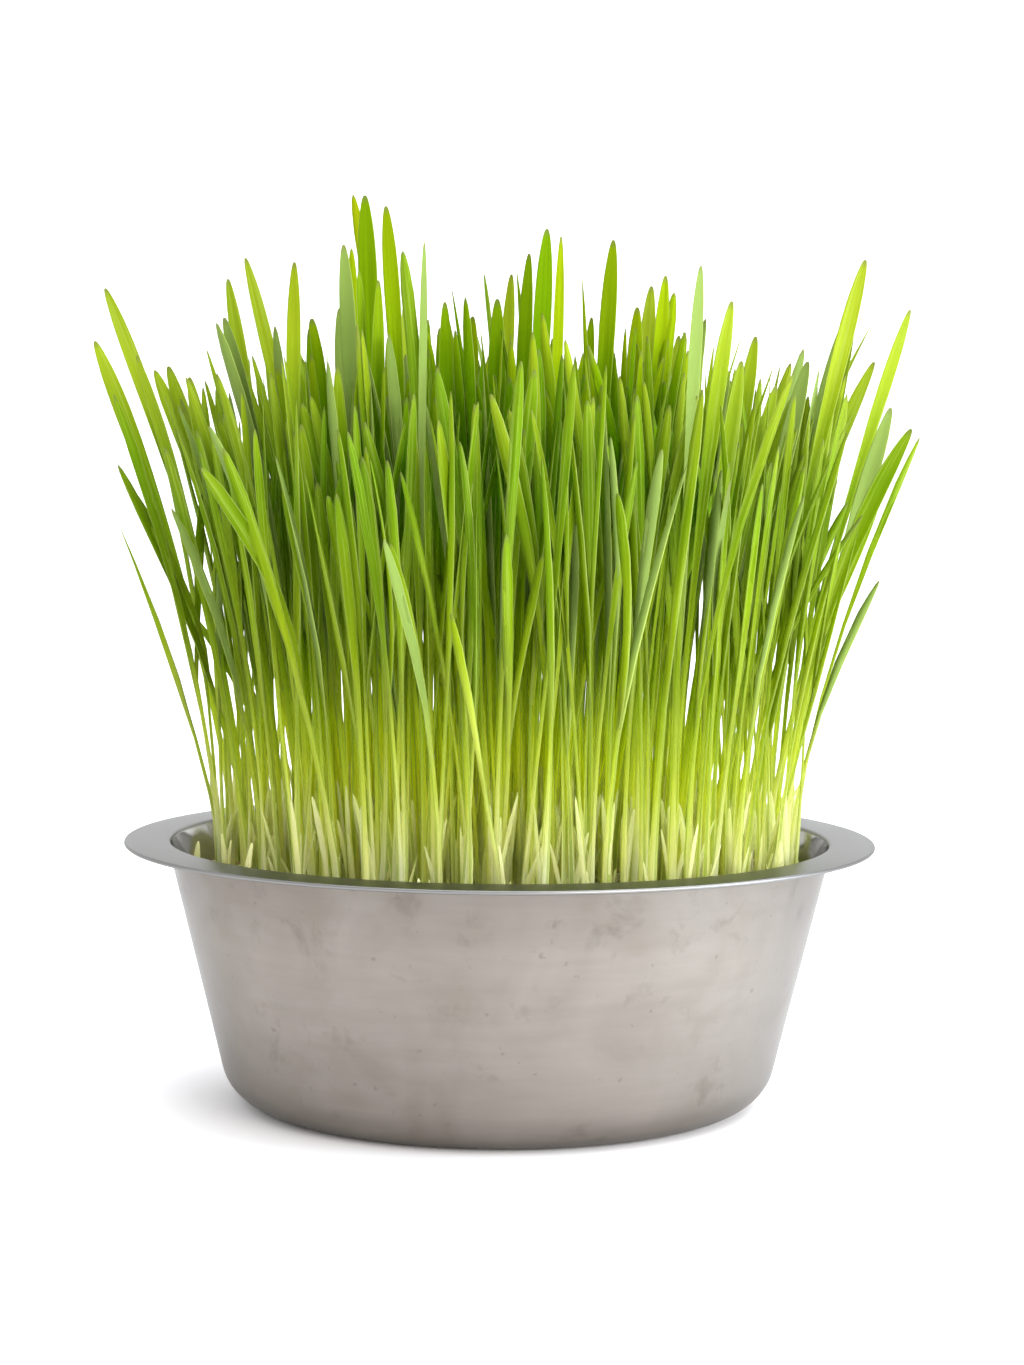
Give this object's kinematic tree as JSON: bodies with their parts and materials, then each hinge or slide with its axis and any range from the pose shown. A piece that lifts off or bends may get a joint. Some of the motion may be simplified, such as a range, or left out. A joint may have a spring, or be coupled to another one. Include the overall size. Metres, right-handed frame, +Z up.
{
  "type": "wheatgrass in a steel bowl",
  "caption": "Turf of young wheatgrass growing from a mat of seeds and roots in a round stainless steel bowl with a flat flange rim and a rolled edge.",
  "frame": {"origin": "centre of the bowl's flat base, on the surface it stands on", "axes": "+Z up along the bowl's axis, +X to the right and +Y away from the viewer, as the picture shows it"},
  "size_m": [0.2398, 0.2222, 0.2586],
  "materials": {
    "stainless_steel": "satin outside, polished inside and on the flange",
    "soil": "matte",
    "wheatgrass": "satin"
  },
  "bodies": {
    "root": {"bowl": "stainless_steel", "potting_soil": "soil", "wheatgrass": "wheatgrass"}
  },
  "joints": []
}
